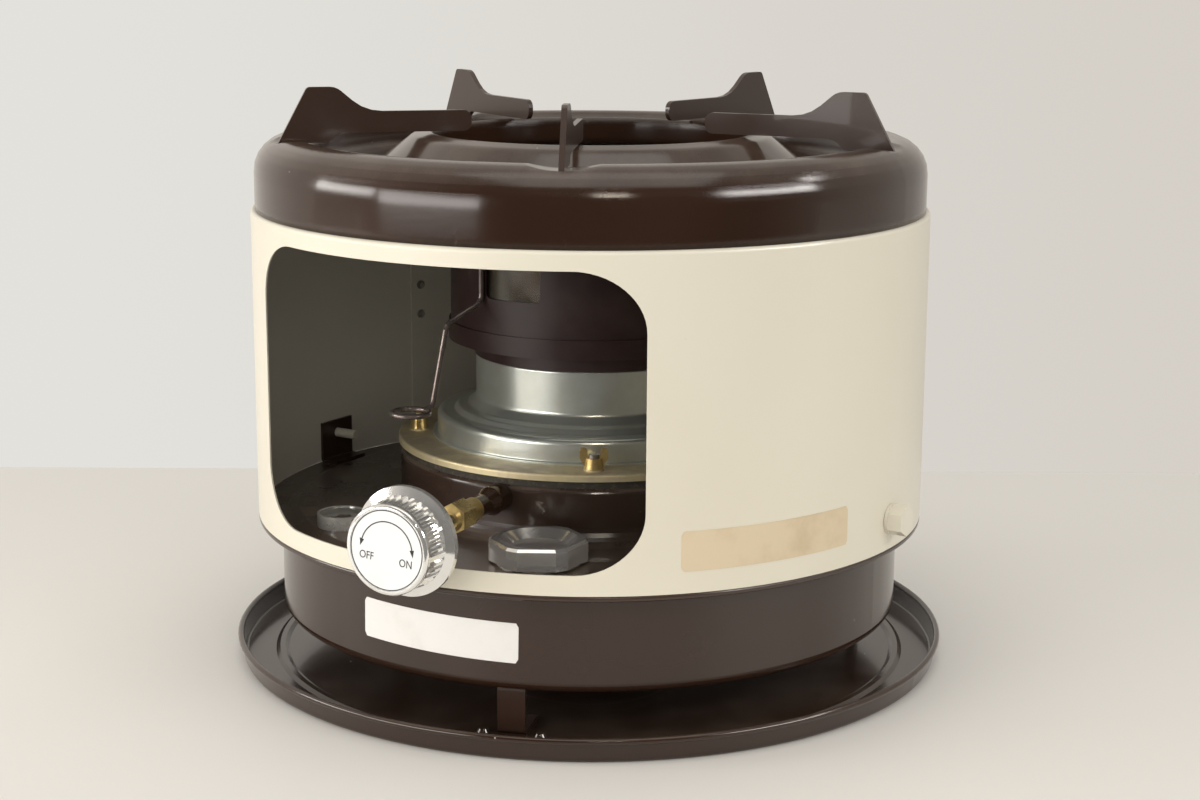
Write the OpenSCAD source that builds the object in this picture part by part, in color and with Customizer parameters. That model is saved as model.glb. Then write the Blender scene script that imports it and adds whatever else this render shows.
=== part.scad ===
// Round wick-type kerosene cooking stove: a drip tray, an annular fuel tank with a
// raised burner seat, a steel cabinet with a front window, and a rolled hob plate
// with five pot supports. Millimetres, +Z up, origin under the centre of the tray.
// The window faces -Y. Angles are measured from +X towards +Y, seen from above.

/* [Drip tray] */
// How far the flat foot of the tray reaches past the cabinet
tray_margin = 9.1; // [6:0.1:20]
// Height of the tray rim
tray_h = 11.8; // [9:0.2:15]
// How far the tray wall leans outwards over its height
tray_lean = 2; // [1:0.2:5]
// How far the ring pressed up in the tray floor lies outside the tank
tray_ring_out = 1.7; // [0:0.1:5]
// Height of the ring pressed up in the tray floor
tray_ring_h = 1.2; // [0.8:0.1:2]
// Sheet thickness of the tray
tray_gauge = 1; // [0.8:0.1:1.4]
// Radius of the bead rolled along the tray rim
tray_bead_r = 1.5; // [1.2:0.1:2]

/* [Fuel tank] */
// Width of the deck between the burner seat and the tank wall
deck_w = 59.3; // [57:0.1:66]
// How far the cabinet and the rim of the deck overhang the tank wall
overhang = 11.6; // [10:0.1:14]
// Clear height between the tray floor and the tank floor, for the draught
draught_gap = 22.8; // [18:0.2:26]
// Height of the tank from its floor to the rim of the deck
tank_h = 49; // [44:0.5:56]
// Sheet thickness of the tank
tank_gauge = 0.9; // [0.7:0.1:1.2]
// Sheet thickness of the deck
deck_gauge = 1; // [0.8:0.1:1.2]
// Rise of the deck from its rim to its flat middle
deck_rise = 2.7; // [2:0.1:4]
// Width of each foot
foot_w = 13; // [10:1:18]
// Length of each foot pad along the radius
foot_l = 22; // [16:1:28]
// Sheet thickness of each foot
foot_gauge = 1.6; // [1.2:0.1:2]
// How far inside the tank wall the upright of each foot stands
foot_in = 7.3; // [6:0.1:12]
// Angle of the first foot
foot_az = -75; // [-85:1:-65]

/* [Burner seat] */
// Width of the raised seat outside the bell of the wick guide
seat_w = 18.5; // [17:0.1:22]
// Height of the seat above the flat of the deck
seat_h = 26.5; // [25.5:0.1:28]
// How far the opening in the seat is wider than the neck of the wick guide
throat_w = 5; // [4:0.1:8]
// Thickness of the gasket on the seat
gasket_t = 6.5; // [5:0.1:7]
// Height of the turned-down edge of the flange plate
flange_edge_h = 3.5; // [2.6:0.1:4.5]
// Sheet thickness of the flange plate
flange_gauge = 1; // [0.8:0.1:1.4]
// How far the studs stand inside the edge of the seat
stud_in = 9; // [7.5:0.1:9.5]
// Radius of each stud
stud_r = 2.5; // [2:0.1:3]
// Angle of the first stud
stud_az = -60; // [-65:1:-55]

/* [Wick and wick guide] */
// Outside radius of the draught tube through the tank
draught_r = 42.7; // [41:0.1:43.5]
// Sheet thickness of the draught tube and the wick guide
guide_gauge = 0.8; // [0.6:0.1:1]
// Thickness of the woven wick
wick_t = 3.2; // [2.8:0.1:3.6]
// Sliding clearance on each side of the wick
wick_gap = 0.4; // [0.3:0.05:0.6]
// Width of the rounded lip between the bore and the neck of the wick guide
lip_in_w = 10.3; // [8:0.1:12]
// How far the bell at the foot of the wick guide stands out from its neck
bell_w = 19.5; // [17:0.1:22]
// Height of the bell of the wick guide
bell_h = 12; // [10:0.5:14]
// Height of the wick guide
guide_h = 40.5; // [39:0.5:46]
// How far the wick is below the mouth of the guide when it is down
wick_drop = 2.5; // [2:0.5:4]
// Travel of the wick from off to fully on
wick_travel = 12; // [10:0.5:12]
// Length of the wick
wick_l = 112; // [100:1:114]

/* [Wick raiser] */
// Angle of the spindle
spindle_az = -87.3; // [-90:0.1:-84]
// Drop of the spindle axis below the top of the burner seat
spindle_drop = 5.5; // [5.2:0.1:6]
// Radius of the spindle
spindle_r = 2.4; // [2:0.1:2.6]
// Teeth of the pinion
pinion_teeth = 10; // [9:1:11]
// Gear module of the pinion and rack
gear_m = 1; // [0.95:0.01:1.05]
// Width of the pinion and of the rack
gear_w = 4; // [3:0.5:5]
// Play between pinion and rack teeth
gear_play = 0.35; // [0.3:0.05:0.5]
// Outside radius of the spindle sleeve
sleeve_r = 4.8; // [4.4:0.1:5.4]
// Across-flats size of the hexagonal gland nut
gland_af = 13; // [12:0.5:14]
// Length of the spindle sleeve outside the burner seat
sleeve_l = 26; // [24:0.5:30]
// Gap between the cabinet wall and the back of the knob
knob_gap = 12.7; // [8:0.1:16]
// Depth of the knob
knob_depth = 18.6; // [16:0.1:24]
// Radius of the flange at the back of the knob
knob_r = 24.6; // [23:0.2:26]
// Radius of the front face of the knob
knob_face_r = 19.6; // [19:0.1:21]
// Radius of the round dial in the front face of the knob
dial_r = 18.1; // [17:0.1:18.4]
// Number of ridges around the knob
knob_ridges = 36; // [30:1:48]

/* [Filler and gauge] */
// Angle of the filler
filler_az = -72.1; // [-76:0.1:-68]
// How far the filler lies inside the middle of the deck
filler_in = 2; // [1:0.1:3]
// Outside radius of the filler neck
neck_tube_r = 17; // [15:0.5:18]
// Across-flats size of the six-sided filler cap
cap_af = 42; // [40:0.5:44]
// Width of the flat that cuts each corner of the cap
cap_corner_w = 5.9; // [4:0.1:7]
// Height of the filler cap
cap_h = 10; // [9:0.1:11.5]
// Angle at which the cap comes tight
cap_stop_az = 9.4; // [-30:0.1:30]
// Angle of the fuel gauge
gauge_az = -124.3; // [-128:0.1:-120]
// How far the fuel gauge lies outside the middle of the deck
gauge_out = 8.4; // [6:0.1:9]
// Radius of the bezel of the fuel gauge
gauge_r = 12; // [11:0.5:13]
// Height of the fuel gauge above the deck
gauge_h = 6.5; // [6:0.1:8]
// Length of the float arm
float_arm_l = 44; // [38:1:48]
// Radius of the float
float_r = 11; // [9:0.5:12]

/* [Burner chimney] */
// How far the chimney drum stands out from the neck of the wick guide
drum_w = 12.3; // [10:0.1:14]
// Height of the chimney drum
drum_h = 85; // [80:0.5:86]
// Sheet thickness of the chimney drum
drum_gauge = 0.8; // [0.7:0.1:1]
// Height of the ring on which the chimney stands
ring_h = 9; // [8:0.5:10]
// Height of the band around the foot of the drum
band_h = 8.4; // [6:0.2:10]
// How far the outer flame cylinder stands outside the bore of the wick guide
flame_out = 5.3; // [4:0.1:7]
// How far the inner flame cylinder stands inside the draught tube
flame_in = 3.2; // [2.4:0.1:5]
// Height of the flame cylinders
flame_h = 74; // [68:1:76]
// Radius of the holes in the flame cylinders
flame_hole_r = 1.6; // [1.2:0.1:2]
// Width of the viewing opening in the drum
peep_w = 31; // [26:1:36]
// Height of the viewing opening in the drum
peep_h = 30; // [24:1:34]
// Angle of the viewing opening
peep_az = -94; // [-98:1:-90]
// Radius of the wire of the lifting handle
wire_r = 1.3; // [1.1:0.1:1.6]
// Radius of the finger loop of the handle, to the middle of the wire
loop_r = 8.7; // [8:0.1:10]
// Distance from the drum to the middle of the finger loop
loop_out = 45; // [42:0.5:50]
// Drop of the finger loop below the foot of the drum
loop_drop = 24.5; // [20:0.5:27]
// Height above the foot of the drum at which the handle enters it
handle_top = 67; // [60:1:76]
// Height above the foot of the drum at which the handle bends outwards
handle_bend = 23; // [18:1:30]
// Distance from the drum to the shoulder of the handle
shoulder_out = 23; // [20:0.5:26]
// Angle of the lifting handle
handle_az = -108.3; // [-112:0.1:-105]

/* [Cabinet] */
// Height of the cabinet
cabinet_h = 150.6; // [146:0.2:156]
// Sheet thickness of the cabinet
cabinet_gauge = 0.9; // [0.7:0.1:1.2]
// Width of the flange turned in at the top of the cabinet
lip_w = 8; // [6:0.5:10]
// Width of the window across its opening
window_w = 200; // [190:1:206]
// Height of the window
window_h = 132.8; // [126:0.2:134]
// Height of the window sill above the foot of the cabinet
sill_h = 9.2; // [8:0.1:11]
// Corner radius of the window
window_corner = 27; // [20:1:32]
// Angle of the lapped seam
seam_az = 152; // [148:1:156]
// Across-flats size of the cabinet screws
screw_af = 13; // [12:0.5:14]
// Angle of the first cabinet screw
screw_az = -3.5; // [-8:0.5:0]
// Height of the cabinet screws above the foot of the cabinet
screw_up = 14.5; // [13:0.5:17]

/* [Hob] */
// How far the hob plate is set in from the cabinet wall
hob_set_in = 2.1; // [1.4:0.1:4]
// Height of the rolled crest of the hob plate above the cabinet
hob_h = 34.4; // [32:0.2:38]
// Radius of the outer roll of the crest
roll_r = 16.3; // [12:0.1:18]
// Width of the crest, from the outer wall to where it falls away inside
crest_w = 26; // [24:0.5:29]
// Depth of the trough inside the crest
trough_depth = 14.3; // [12:0.1:16]
// How far the rim of the hob opening stands outside the chimney drum
hole_w = 7.7; // [6:0.1:10]
// Width of the raised collar around the hob opening
collar_w = 29; // [26:0.5:32]
// Height of the collar rim above the crest
collar_up = 2.2; // [1.8:0.1:2.8]
// Sheet thickness of the hob plate
hob_gauge = 1.2; // [1:0.1:1.4]
// Depth of the dent in the crest under each pot support
dent_depth = 2.2; // [1.4:0.1:2.6]
// Number of pot supports
support_count = 5; // [4:1:6]
// Angle of the first pot support
support_az = 6; // [3:1:9]
// Plate thickness of the pot supports
support_t = 2.6; // [2:0.1:3.4]
// How far each pot support reaches in over the hob opening
support_reach = 17.5; // [14:0.5:20]
// Length of the foot of a pot support on the crest
support_foot_l = 24; // [20:0.5:26]
// Length of the top of a pot support's horn
support_horn_l = 13.8; // [10:0.1:16]
// Height of the bar of a pot support
support_bar_h = 10; // [8:0.5:12]
// Height of the horn of a pot support above its bar
support_horn_h = 11.7; // [9:0.1:14]

/* [Hidden] */
$fn = 96;
// Largest turn between two neighbouring points on a rounded corner
ARC_STEP = 15;
// The same for bent wire, and how far its rounded joints stand proud
WIRE_STEP = 30;
WIRE_JOINT = 0.06;
// Clearances: a fixed seat between round faces, a running fit, and a free gap
seat_gap = 0.05;
running_gap = 0.06;
free_gap = 0.3;
// Overshoot of a cutter past the face that it opens
cut = 1;
foot_count = 3;
stud_count = 4;

// Heights, from the ground up
tray_floor_z = tray_gauge;
tank_z = tray_floor_z + draught_gap;
rim_z = tank_z + tank_h;
deck_z = rim_z + deck_rise;
seat_z = deck_z + seat_h;
flange_z = seat_z + gasket_t + flange_gauge;
guide_z = flange_z + guide_h;
spindle_z = seat_z - spindle_drop;
cabinet_z = rim_z + cabinet_h;
crest_z = cabinet_z + hob_h;
collar_z = crest_z + collar_up;

// Radii that follow from what fits inside what, from the draught tube outwards
wick_in_r = draught_r + wick_gap;
wick_out_r = wick_in_r + wick_t;
bore_r = wick_out_r + wick_gap;
neck_r = bore_r + lip_in_w;
bell_r = neck_r + bell_w;
throat_r = neck_r + throat_w;
seat_r = bell_r + seat_w;
stud_circle_r = seat_r - stud_in;
tank_r = seat_r + deck_w;
filler_at = (seat_r + tank_r) / 2 - filler_in;
gauge_at = (seat_r + tank_r) / 2 + gauge_out;
foot_r = tank_r - foot_in;
cabinet_r = tank_r + overhang;
knob_back = cabinet_r + knob_gap;
tray_ring_r = tank_r + tray_ring_out;
tray_foot_r = cabinet_r + tray_margin;
flame_outer_r = bore_r + flame_out;
flame_inner_r = draught_r - flame_in;
drum_r = neck_r + drum_w;
hob_r = cabinet_r - hob_set_in;
hob_hole_r = drum_r + hole_w;
support_tip_r = hob_hole_r - support_reach;
flange_r = seat_r + 1;
deck_fold_w = 6;
pinion_r = gear_m * pinion_teeth / 2;
knob_travel = wick_travel / pinion_r * 180 / PI;

// ---------------------------------------------------------------- helpers

function unit(v) = v / norm(v);

// Points of the rounded corner q between its neighbours p and s
function corner(p, q, s, radius, step) =
    let (to_p = unit(p - q), to_s = unit(s - q),
         half = acos(max(-1, min(1, to_p * to_s))) / 2,
         centre = q + unit(to_p + to_s) * radius / sin(half),
         first = q + to_p * radius / tan(half) - centre,
         last = q + to_s * radius / tan(half) - centre,
         start = atan2(first.y, first.x),
         swing = atan2(last.y, last.x) - start,
         turn = swing > 180 ? swing - 360 : swing < -180 ? swing + 360 : swing,
         n = max(1, ceil(abs(turn) / step)))
    [for (i = [0:n]) centre + radius * [cos(start + turn * i / n), sin(start + turn * i / n)]];

// An open path of [r, z, corner radius] with its corners rounded
function rounded(path, step = ARC_STEP) = [
    for (i = [0:len(path) - 1])
        let (q = [path[i].x, path[i].y], radius = path[i].z)
        each (i == 0 || i == len(path) - 1 || radius == 0
            ? [q]
            : corner([path[i - 1].x, path[i - 1].y], q, [path[i + 1].x, path[i + 1].y], radius, step))
];

// The same path moved to its left by a sheet's thickness, with mitred corners
function shifted(path, t) = [
    for (i = [0:len(path) - 1])
        let (before = unit(path[max(i, 1)] - path[max(i, 1) - 1]),
             after = unit(path[min(i + 1, len(path) - 1)] - path[min(i, len(path) - 2)]),
             n0 = [-before.y, before.x], n1 = [-after.y, after.x])
        path[i] + t * (n0 + n1) / (1 + n0 * n1)
];

// Section of a sheet-metal pressing whose outer skin follows the path
module sheet(path, gauge) {
    skin = rounded(path);
    back = shifted(skin, gauge);
    polygon(concat(skin, [for (i = [len(back) - 1:-1:0]) back[i]]));
}

module pressing(path, gauge) rotate_extrude() sheet(path, gauge);

module ring(r_in, r_out, z0, z1) {
    translate([0, 0, z0]) difference() {
        cylinder(r = r_out, h = z1 - z0);
        translate([0, 0, -cut]) cylinder(r = r_in, h = z1 - z0 + 2 * cut);
    }
}

// Stand at an angle and distance from the stove axis, with +X pointing outwards
module at(az, r, z) rotate([0, 0, az]) translate([r, 0, z]) children();

// The same, with local +Z pointing outwards and local -X pointing up
module radial(az, r, z) at(az, r, z) rotate([0, 90, 0]) children();

module rounded_rect(w, h, radius) {
    square([w - 2 * radius, h], center = true);
    square([w, h - 2 * radius], center = true);
    for (x = [-1, 1], y = [-1, 1])
        translate([x * (w / 2 - radius), y * (h / 2 - radius)]) circle(r = radius);
}

// ---------------------------------------------------------------- drip tray

module drip_tray() color("#3b2a24") {
    top_r = tray_foot_r + tray_lean;
    bead_z = tray_h - tray_bead_r;
    rotate_extrude() {
        sheet([[0, 0, 0], [tray_ring_r - 3, 0, 0], [tray_ring_r - 1, tray_ring_h, 0],
               [tray_ring_r + 1, tray_ring_h, 0], [tray_ring_r + 3, 0, 0],
               [tray_foot_r, 0, 2.5], [top_r, bead_z, 0]], tray_gauge);
        translate([top_r - tray_gauge / 2, bead_z]) circle(r = tray_bead_r, $fn = 24);
    }
    // Raised arcs that keep each foot from walking round the floor
    locator_r = 3;
    for (i = [0:foot_count - 1], side = [-1, 1])
        at(foot_az + i * 360 / foot_count + side * 5.2, foot_r, tray_floor_z - 0.2)
            cylinder(r1 = locator_r, r2 = locator_r - 1, h = 1.8);
}

// ---------------------------------------------------------------- fuel tank

module tank_feet() color("#2e211c") {
    stand_h = tank_z - tray_floor_z;
    for (i = [0:foot_count - 1]) at(foot_az + i * 360 / foot_count, foot_r, tray_floor_z)
        rotate([90, 0, 0]) linear_extrude(foot_w, center = true)
            // A Z-shaped strip: pad on the tray, upright, pad under the tank
            sheet([[-foot_l, 0, 0], [0, 0, 2.2], [0, stand_h, 2.2], [-foot_l, stand_h, 0]], foot_gauge);
}

module fuel_tank() color("#3b2a24") {
    flange_under = rim_z - deck_gauge - tank_gauge;
    pressing([[draught_r + seat_gap, tank_z, 0], [tank_r, tank_z, 5], [tank_r, flange_under, 1.2],
              [cabinet_r - deck_gauge - free_gap, flange_under, 0]], tank_gauge);
}

module tank_deck() color("#3b2a24") difference() {
    ramp_r = tank_r - 2.3;
    fold_z = rim_z - 2 * deck_gauge - tank_gauge;
    rotate_extrude() {
        sheet([[cabinet_r - deck_fold_w, fold_z, 0], [cabinet_r, fold_z, 1.2], [cabinet_r, rim_z, 1.2],
               [ramp_r, rim_z, 3], [ramp_r - 6, deck_z, 3], [seat_r, deck_z, 8], [seat_r, seat_z, 2.5],
               [throat_r, seat_z, 0]], deck_gauge);
    }
    radial(spindle_az, seat_r - 2 * cut - 4, spindle_z)
        cylinder(r = spindle_r + free_gap, h = 3 * cut + 8);
    at(filler_az, filler_at, deck_z - 2 * cut) cylinder(r = neck_tube_r + seat_gap, h = 4 * cut);
    at(gauge_az, gauge_at, deck_z - 2 * cut) cylinder(r = gauge_stem_r + seat_gap, h = 4 * cut);
    for (i = [0:stud_count - 1]) at(stud_az + i * 360 / stud_count, stud_circle_r, seat_z - 2 * cut)
        cylinder(r = stud_r + seat_gap, h = 4 * cut);
}

module draught_tube() color("#a9a79c")
    pressing([[draught_r, tank_z, 0], [draught_r, guide_z, 1.4], [flame_inner_r - 4, guide_z, 0]],
             guide_gauge);

// ---------------------------------------------------------------- filler

cap_skirt_t = 1.2;
neck_top = 5;
seal_t = 1.5;
neck_wall = 1.2;
cap_foot_gap = 1;

module filler_neck() color("#c8c6c0") at(filler_az, filler_at, deck_z) {
    ring(neck_tube_r - neck_wall, neck_tube_r, -6, neck_top);
    ring(neck_tube_r - seat_gap, neck_tube_r + 2.6, 0, 0.8);
}

module filler_strainer() color("#b3935a") at(filler_az, filler_at, deck_z) {
    strainer_r = neck_tube_r - neck_wall - seat_gap;
    strainer_h = 26;
    difference() {
        translate([0, 0, neck_top - strainer_h]) cylinder(r = strainer_r, h = strainer_h);
        translate([0, 0, neck_top - strainer_h + 0.6]) cylinder(r = strainer_r - 0.6, h = strainer_h);
        // Slots through which the fuel runs into the tank
        for (i = [0:3]) rotate([0, 0, 45 * i]) translate([0, 0, neck_top - strainer_h + 9])
            cube([3 * strainer_r, 4, 10], center = true);
    }
}

module filler_seal() color("#2b2b2b") at(filler_az, filler_at, deck_z + neck_top)
    cylinder(r = neck_tube_r, h = seal_t);

// Six-sided screw cap with cut corners, a shallow hollow in each side and a dished top
module filler_cap() color("#d9dadb") at(filler_az, filler_at, deck_z) rotate([0, 0, cap_stop_az]) difference() {
    half_side = (cap_af - 2 * cap_corner_w) / sqrt(3) / 2;
    outline = [for (i = [0:5], side = [-1, 1]) [
        cos(60 * i) * cap_af / 2 - sin(60 * i) * side * half_side,
        sin(60 * i) * cap_af / 2 + cos(60 * i) * side * half_side
    ]];
    roof_z = neck_top + seal_t;
    top_z = cap_foot_gap + cap_h;
    bevel = 1.2;
    union() {
        translate([0, 0, cap_foot_gap]) linear_extrude(cap_h - bevel) polygon(outline);
        translate([0, 0, top_z - bevel]) linear_extrude(bevel, scale = 1 - 2 * bevel / cap_af) polygon(outline);
    }
    // Room for the neck and the seal
    translate([0, 0, cap_foot_gap - cut]) cylinder(r = neck_tube_r + free_gap, h = roof_z - cap_foot_gap + cut);
    // Dish in the top
    translate([0, 0, roof_z + 0.9]) cylinder(r1 = 12.5, r2 = cap_af / 2 - 3.2, h = top_z - roof_z - 0.8);
    // Hollow side panels
    hollow_r = 60;
    for (i = [0:5]) rotate([0, 0, 60 * i]) translate([cap_af / 2 + hollow_r - 0.5, 0, cap_foot_gap - cut])
        cylinder(r = hollow_r, h = cap_h * 0.7);
}

// ---------------------------------------------------------------- fuel gauge

gauge_stem_r = 6;
gauge_wall = 1.2;
gauge_floor = 2;
needle_shaft_r = 0.8;
float_pivot_z = -13;
float_heading = 120;

module gauge_housing() color("#cfcfcd") at(gauge_az, gauge_at, deck_z) {
    difference() {
        union() {
            translate([0, 0, 0]) cylinder(r = gauge_r, h = gauge_h);
            translate([0, 0, float_pivot_z + 3]) cylinder(r = gauge_stem_r, h = -float_pivot_z - 3);
        }
        translate([0, 0, gauge_floor]) cylinder(r = gauge_r - gauge_wall, h = gauge_h);
        translate([0, 0, float_pivot_z]) cylinder(r = needle_shaft_r + 2 * running_gap, h = 30);
    }
    // Two ears under the stem hold the pivot of the float arm
    rotate([0, 0, float_heading]) for (side = [-1, 1])
        translate([-3, side * 3.4 - 0.7, float_pivot_z - 3]) difference() {
            cube([6, 1.4, 6]);
            translate([3, -cut, 3]) rotate([-90, 0, 0]) cylinder(r = 1 + running_gap, h = 1.4 + 2 * cut);
        }
}

module gauge_dial() color("#f0efe8") at(gauge_az, gauge_at, deck_z)
    ring(needle_shaft_r + free_gap, gauge_r - gauge_wall - seat_gap, gauge_floor, gauge_floor + 0.5);

module gauge_glass() color("#dfe8ea") at(gauge_az, gauge_at, deck_z)
    translate([0, 0, gauge_h - 1.4]) cylinder(r = gauge_r - gauge_wall - seat_gap, h = 1);

module gauge_needle() color("#a02018") at(gauge_az, gauge_at, deck_z) {
    translate([0, 0, float_pivot_z + 3.6]) cylinder(r = needle_shaft_r, h = gauge_floor + 2 - float_pivot_z - 3.6);
    translate([0, 0, gauge_floor + 1]) {
        cylinder(r = 2.4, h = 0.8);
        linear_extrude(0.8) polygon([[-4, -1.1], [-4, 1.1], [8.6, 0.3], [8.6, -0.3]]);
    }
}

module float_arm() color("#c9b778") at(gauge_az, gauge_at, deck_z + float_pivot_z)
    rotate([0, 0, float_heading]) {
        rotate([-90, 0, 0]) cylinder(r = 1, h = 9, center = true);
        rotate([0, 90, 0]) cylinder(r = 1, h = float_arm_l - float_r);
    }

module fuel_float() color("#b98f5c") at(gauge_az, gauge_at, deck_z + float_pivot_z)
    rotate([0, 0, float_heading]) translate([float_arm_l, 0, -5])
        difference() {
            cylinder(r = float_r, h = 10);
            translate([-float_r - cut, 0, 5]) rotate([0, 90, 0]) cylinder(r = 1 + seat_gap, h = cut + 0.2);
        }

// ---------------------------------------------------------------- burner seat

bracket_w = 25;
bracket_h = 21.5;
bracket_foot = 10;
bracket_t = 1.4;

module cabinet_brackets() color("#3b2a24") for (turn = [0, 180]) {
    back_r = cabinet_r - cabinet_gauge - 0.9;
    at(screw_az + turn, 0, rim_z) difference() {
        rotate([90, 0, 0]) linear_extrude(bracket_w, center = true)
            sheet([[back_r - bracket_foot, 0, 0], [back_r, 0, 2], [back_r, bracket_h, 0]], bracket_t);
        translate([back_r - 6, 0, screw_up]) rotate([0, 90, 0]) cylinder(r = screw_shank_r + seat_gap, h = 10);
    }
}

module seat_gasket() color("#241f1c") difference() {
    ring(throat_r, seat_r - 2, seat_z, seat_z + gasket_t);
    for (i = [0:stud_count - 1]) at(stud_az + i * 360 / stud_count, stud_circle_r, seat_z - cut)
        cylinder(r = stud_r + seat_gap, h = gasket_t + 2 * cut);
}

module flange_plate() color("#b9a865") difference() {
    pressing([[flange_r, flange_z - flange_edge_h, 0], [flange_r, flange_z, 1.2], [throat_r, flange_z, 0]],
             flange_gauge);
    for (i = [0:stud_count - 1]) at(stud_az + i * 360 / stud_count, stud_circle_r, flange_z - flange_gauge - cut)
        cylinder(r = stud_r + seat_gap, h = flange_gauge + 2 * cut);
}

stud_proud = 7.5;
washer_t = 0.8;

module flange_studs() color("#8d8a80") for (i = [0:stud_count - 1])
    at(stud_az + i * 360 / stud_count, stud_circle_r, seat_z - deck_gauge) {
        cylinder(r = stud_r, h = flange_z - seat_z + deck_gauge + stud_proud);
        // Head welded under the seat
        translate([0, 0, -1.5]) cylinder(r = stud_r + 2, h = 1.5);
    }

module stud_washers() color("#bdb48c") for (i = [0:stud_count - 1])
    at(stud_az + i * 360 / stud_count, stud_circle_r, flange_z)
        ring(stud_r + seat_gap, stud_r + 2.4, 0, washer_t);

wing_reach = 6.6;
wing_h = 10;

module wing_nuts() color("#b08d4a") for (i = [0:stud_count - 1])
    at(stud_az + i * 360 / stud_count, stud_circle_r, flange_z + washer_t) rotate([0, 0, 90]) difference() {
        union() {
            cylinder(r1 = 4.6, r2 = 3.8, h = 5);
            rotate([90, 0, 0]) linear_extrude(1.9, center = true) for (side = [-1, 1]) scale([side, 1]) {
                polygon([[0, 0.4], [4, 0.4], [wing_reach, 5], [wing_reach, wing_h - 2], [3.2, wing_h - 2.2], [2.6, 4.6], [0, 4.6]]);
                translate([wing_reach - 1.7, wing_h - 2]) circle(r = 1.75, $fn = 24);
            }
        }
        translate([0, 0, -cut]) cylinder(r = stud_r + seat_gap, h = wing_h + 2 * cut);
    }

// Stepped tube that carries the chimney and guides the wick: lip, mouth, neck, flare, bell
module wick_guide() color("#a3a9a6") rotate_extrude() {
    bell_top = flange_z + bell_h;
    sheet([[bell_r + 2.5, flange_z + guide_gauge, 0], [bell_r, flange_z + guide_gauge, 0.4], [bell_r, bell_top, 3],
           [bell_r - 8.5, bell_top, 1], [bell_r - 10.5, bell_top + 2.6, 1.6], [neck_r + 4, bell_top + 3, 2],
           [neck_r, bell_top + 7, 3], [neck_r, guide_z, 1], [bore_r, guide_z, 0.9], [bore_r, guide_z - 18, 0]],
          guide_gauge);
}

module wick() color("#d8d2c2")
    ring(wick_in_r, wick_out_r, guide_z - wick_drop - wick_l, guide_z - wick_drop);

// ---------------------------------------------------------------- wick raiser

pressure_angle = 25;
rack_tip = 0.6 * gear_m;
rack_root = gear_m;
pinion_tip = 0.8 * gear_m;
carrier_t = 0.8;
carrier_r = wick_out_r + seat_gap + carrier_t;
pinion_at = carrier_r + 0.5;

function involute(a) = tan(a) * 180 / PI - a;

// Half of a tooth's angle at radius r
function half_tooth(r) =
    let (base = pinion_r * cos(pressure_angle), a = acos(min(1, base / r)))
    (PI * gear_m / 2 - gear_play / 2) / (2 * pinion_r) * 180 / PI + involute(pressure_angle) - involute(a);

module pinion_outline() {
    base = pinion_r * cos(pressure_angle);
    root = pinion_r - rack_tip - 0.25;
    tip = pinion_r + pinion_tip;
    radii = [base, (base + pinion_r) / 2, pinion_r, (pinion_r + tip) / 2, tip];
    // Local -Y is where the rack is, so one tooth points there
    flank = concat([[root, half_tooth(base)]], [for (r = radii) [r, half_tooth(r)]]);
    polygon([
        for (i = [0:pinion_teeth - 1], side = [-1, 1], k = [0:len(flank) - 1])
            let (p = flank[side < 0 ? k : len(flank) - 1 - k], a = -90 + i * 360 / pinion_teeth + side * p.y)
            p.x * [cos(a), sin(a)]
    ]);
}

module pinion() color("#b9b6ab") radial(spindle_az, pinion_at, spindle_z) difference() {
    linear_extrude(gear_w) pinion_outline();
    translate([0, 0, -cut]) cylinder(r = spindle_r + seat_gap, h = gear_w + 2 * cut);
}

// Sleeve around the wick with a toothed rack beside the pinion
module wick_carrier() color("#8f8c82") {
    carrier_z = spindle_z - wick_travel - 6;
    ring(wick_out_r + seat_gap, carrier_r, carrier_z, spindle_z + 8);
    pitch = PI * gear_m;
    below = ceil((wick_travel + 3) / pitch);
    half = pitch / 4 - gear_play / 4;
    slope = tan(pressure_angle);
    back = 3.4;
    difference() {
        radial(spindle_az, pinion_at - 3, spindle_z) linear_extrude(gear_w + 3) translate([0, -pinion_r]) {
            translate([-pitch, -back]) square([(below + 1) * pitch, back - rack_root]);
            for (k = [-1:below - 1]) translate([(k + 0.5) * pitch, 0])
                polygon([[-half - rack_root * slope, -rack_root - 0.01], [half + rack_root * slope, -rack_root - 0.01],
                         [half - rack_tip * slope, rack_tip], [-half + rack_tip * slope, rack_tip]]);
        }
        translate([0, 0, carrier_z - cut]) cylinder(r = carrier_r - carrier_t / 2, h = 2 * wick_travel + 40);
    }
}

module spindle() color("#a8a69e") radial(spindle_az, pinion_at, spindle_z)
    cylinder(r = spindle_r, h = knob_back + knob_depth - 6 - pinion_at);

sleeve_end = seat_r + sleeve_l;
gland_body_l = 9;
gland_l = 11;
gland_body_r = 5.6;

// Brown tube welded to the seat, swelling where it meets it
module spindle_sleeve() color("#3b2a24") difference() {
    radial(spindle_az, 0, spindle_z) rotate_extrude() polygon(concat([[spindle_r + running_gap, seat_r - 6]],
        rounded([[spindle_r + running_gap, seat_r - 6, 0], [sleeve_r + 1.4, seat_r - 6, 0],
                 [sleeve_r + 2.2, sleeve_end - 15, 3], [sleeve_r, sleeve_end - 9, 5], [sleeve_r, sleeve_end, 0],
                 [spindle_r + running_gap, sleeve_end, 0]])));
    translate([0, 0, spindle_z - 20]) cylinder(r = seat_r + seat_gap, h = 40);
}

module gland_packing() color("#5d5a52") radial(spindle_az, sleeve_end, spindle_z)
    ring(spindle_r + running_gap, gland_body_r - 1.6, 0, 4);

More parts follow.
